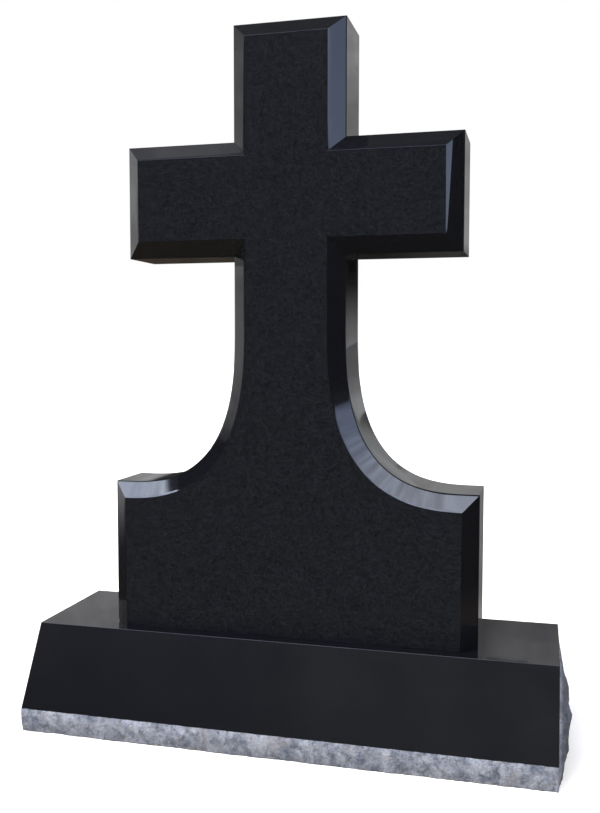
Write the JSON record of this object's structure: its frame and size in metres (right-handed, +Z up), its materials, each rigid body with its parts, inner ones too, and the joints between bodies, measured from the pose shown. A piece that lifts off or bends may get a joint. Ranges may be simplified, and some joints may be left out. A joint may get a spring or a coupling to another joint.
{
  "type": "cross headstone",
  "caption": "Upright cross headstone of polished black granite with flared shoulders and a bevelled front, on a slant-fronted rock-pitched base.",
  "frame": {"origin": "middle of the base's underside, taken over the rock-pitched faces", "axes": "+Z up, the front with its bevelled cross face towards -Y, +X to the right of someone facing the front"},
  "size_m": [1.1206, 0.3828, 1.4323],
  "materials": {
    "tablet_granite": "polished black granite, finely speckled",
    "base_granite": "polished black granite with pale rock-pitched ends, back and foot strip"
  },
  "bodies": {
    "root": {"cross_tablet": "tablet_granite", "base": "base_granite"}
  },
  "joints": []
}
